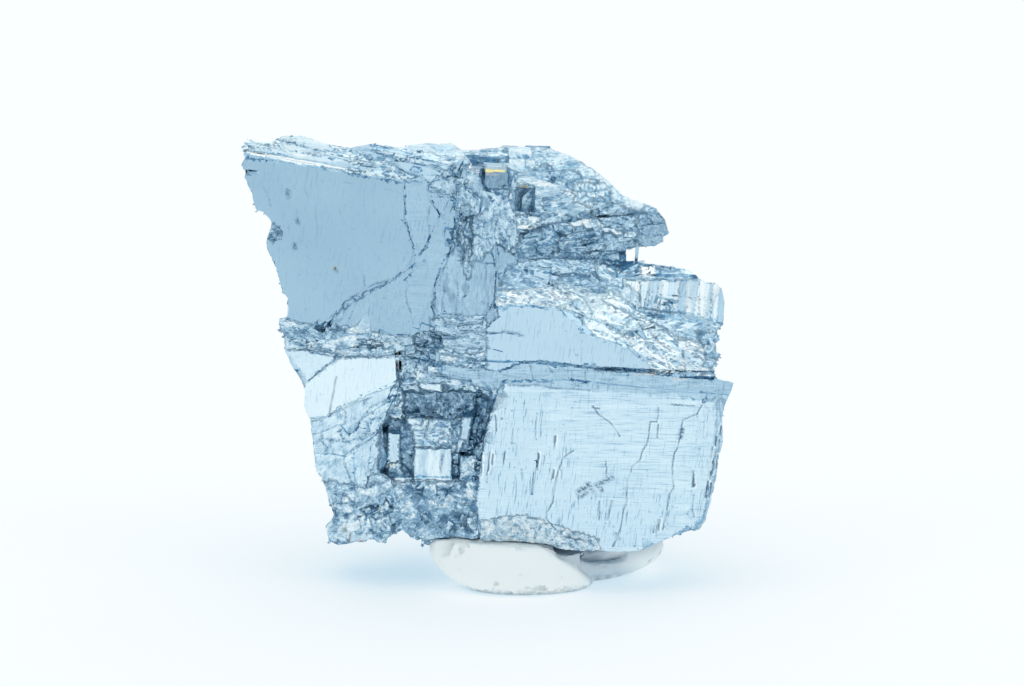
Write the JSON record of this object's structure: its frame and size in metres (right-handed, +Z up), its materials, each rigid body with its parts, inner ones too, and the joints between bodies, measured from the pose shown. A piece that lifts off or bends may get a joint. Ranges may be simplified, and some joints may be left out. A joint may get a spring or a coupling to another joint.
{
  "type": "stibnite crystal",
  "caption": "Cleaved stibnite hand specimen with mirror-bright plates, a stepped pocket and a ribbed block, standing on a pressed lump of white putty.",
  "frame": {"origin": "centre of the bounding box's bottom face, on the surface that the putty stands on", "axes": "+X along the specimen's long side, towards the big lower cleavage face; -Y out of its best face; +Z up"},
  "size_m": [0.0454, 0.0246, 0.0422],
  "materials": {
    "stibnite": "natural metallic lustre: mirror-bright cleavage plates, dull granular breaks",
    "putty": "soft matte white, pressed smooth by hand"
  },
  "bodies": {
    "root": {"stibnite_crystal": "stibnite", "mounting_putty": "putty"}
  },
  "joints": []
}
